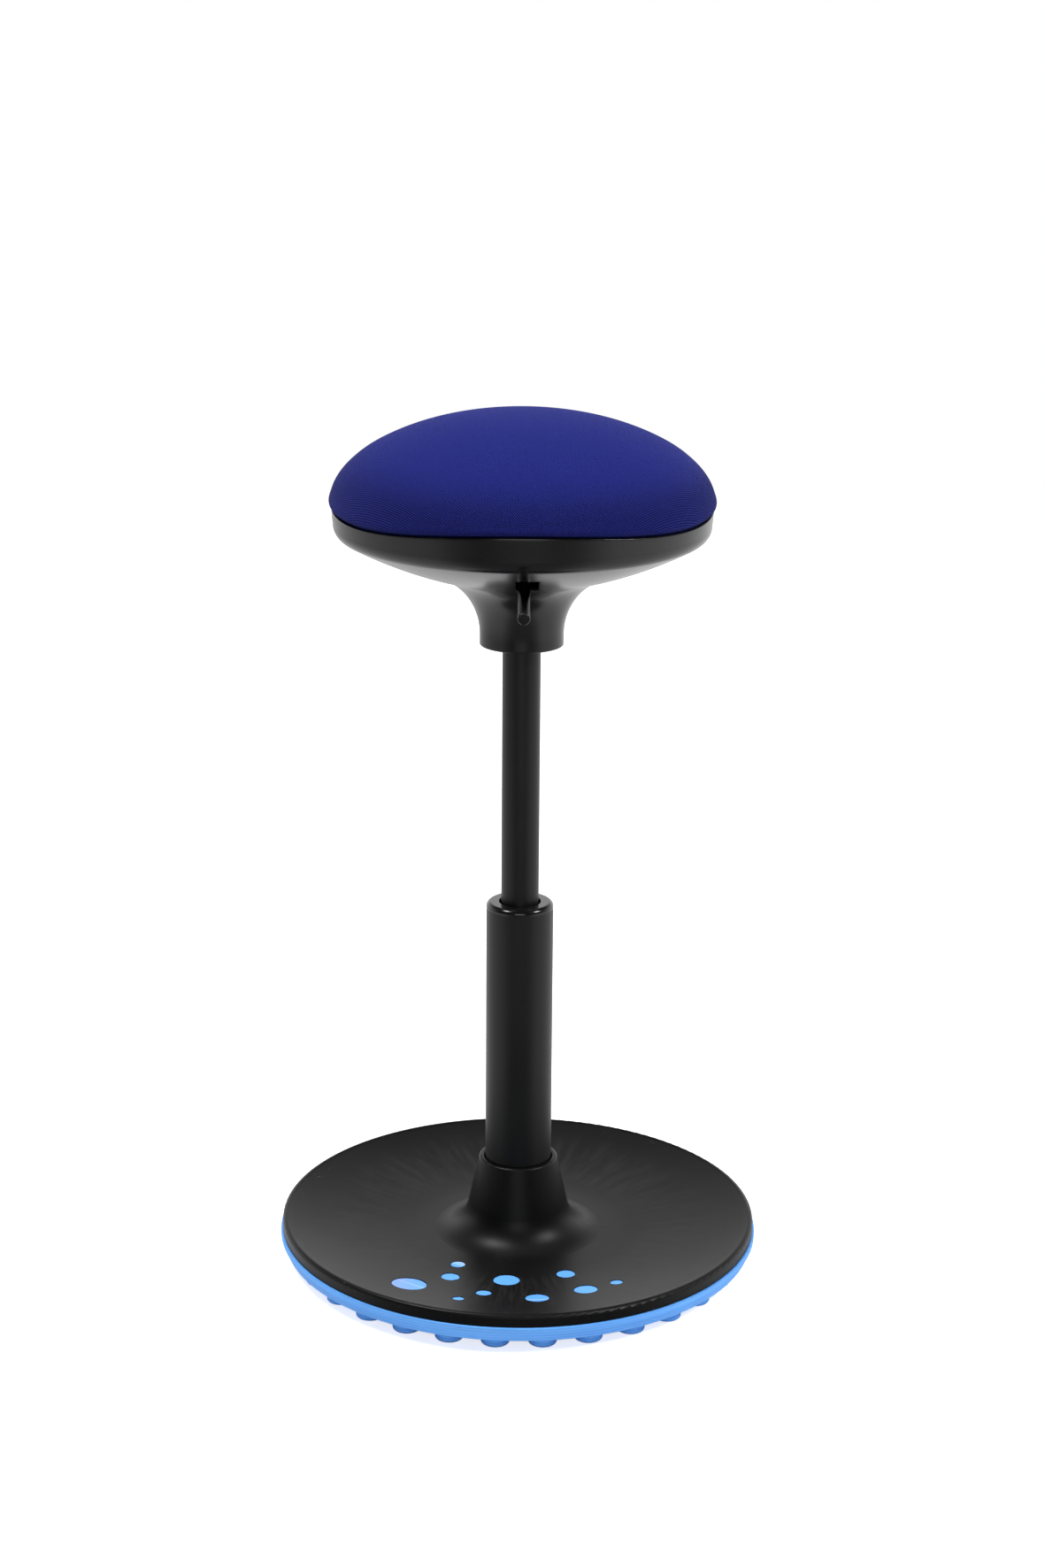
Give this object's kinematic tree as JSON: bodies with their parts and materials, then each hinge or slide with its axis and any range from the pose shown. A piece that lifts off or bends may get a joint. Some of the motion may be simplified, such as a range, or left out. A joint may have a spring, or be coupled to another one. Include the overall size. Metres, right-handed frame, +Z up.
{
  "type": "office stool",
  "caption": "Height-adjustable swivel stool: round domed cushion in a black shell, gas lift column with a release lever, and a round dished foot on a studded blue tread.",
  "frame": {"origin": "on the floor, under the axis of the column", "axes": "+Z up along the column, -Y towards the release lever (the front), +X to the right seen from the front"},
  "size_m": [0.3629, 0.363, 0.6466],
  "materials": {
    "tread_rubber": "smooth moulded blue rubber with fine mould lines",
    "foot_plastic": "satin black moulded plastic",
    "shell_plastic": "satin black moulded plastic",
    "cap_plastic": "polished black plastic",
    "tube_paint": "satin black coating",
    "bracket_paint": "matt black coating",
    "zinc_steel": "zinc plated",
    "ground_steel": "ground and polished",
    "bush_plastic": "natural acetal",
    "seal_rubber": "plain black",
    "valve_metal": "turned",
    "board_wood": "birch plywood",
    "cushion_foam": "moulded foam under the cover",
    "seat_fabric": "deep blue woven cloth with a fine even rib",
    "lever_paint": "gloss black coating"
  },
  "bodies": {
    "base": {"base_tread": "tread_rubber", "base_cover": "foot_plastic", "base_plate": "bracket_paint", "base_socket": "bracket_paint", "base_screws": "zinc_steel", "standing_tube": "tube_paint", "tube_cap": "cap_plastic", "guide_bush": "bush_plastic", "tube_end_plate": "zinc_steel", "bearing_lower_race": "zinc_steel"},
    "bearing": {"bearing_cage": "bush_plastic", "bearing_balls": "ground_steel"},
    "spindle": {"piston_rod": "ground_steel", "rod_clip": "zinc_steel", "rod_washer": "zinc_steel", "bearing_upper_race": "zinc_steel", "rod_buffer": "seal_rubber", "rod_nut": "zinc_steel", "piston": "bush_plastic", "piston_seal": "seal_rubber"},
    "seat": {"gas_cylinder": "tube_paint", "inner_cylinder": "zinc_steel", "rod_guide": "valve_metal", "rod_seal": "seal_rubber", "valve_body": "valve_metal", "seat_socket": "bracket_paint", "seat_mount_plate": "bracket_paint", "mount_screws": "zinc_steel", "seat_shell": "shell_plastic", "seat_board": "board_wood", "board_clips": "bush_plastic", "cushion_foam": "cushion_foam", "cushion_cover": "seat_fabric", "lever_pivot": "zinc_steel", "lever_pivot_clip": "zinc_steel"},
    "lever": {"release_lever": "lever_paint"},
    "valve_pin": {"release_pin": "ground_steel"}
  },
  "joints": [
    {"name": "seat_swivel", "type": "hinge", "parent": "base", "child": "spindle", "pos_m": [0, 0, 0.0245], "axis": [0, 0, 1], "continuous": true},
    {"name": "cage_spin", "type": "hinge", "parent": "base", "child": "bearing", "pos_m": [0, 0, 0.0245], "axis": [0, 0, 1], "continuous": true},
    {"name": "seat_height", "type": "slide", "parent": "spindle", "child": "seat", "axis": [0, 0, 1], "range_m": [-0.19, 0]},
    {"name": "lever_pull", "type": "hinge", "parent": "seat", "child": "lever", "pos_m": [0, -0.015, 0.5336], "axis": [-1, 0, 0], "range_deg": [0, 5.5], "stiffness_Nm_per_rad": 4, "springref_deg": -17.19},
    {"name": "valve_press", "type": "slide", "parent": "seat", "child": "valve_pin", "axis": [0, 0, -1], "range_m": [0, 0.00175]}
  ],
  "couplings": [
    {"joint": "cage_spin", "follows": "seat_swivel", "ratio": 0.5},
    {"joint": "valve_press", "follows": "lever_pull", "m_per_rad": 0.018}
  ]
}
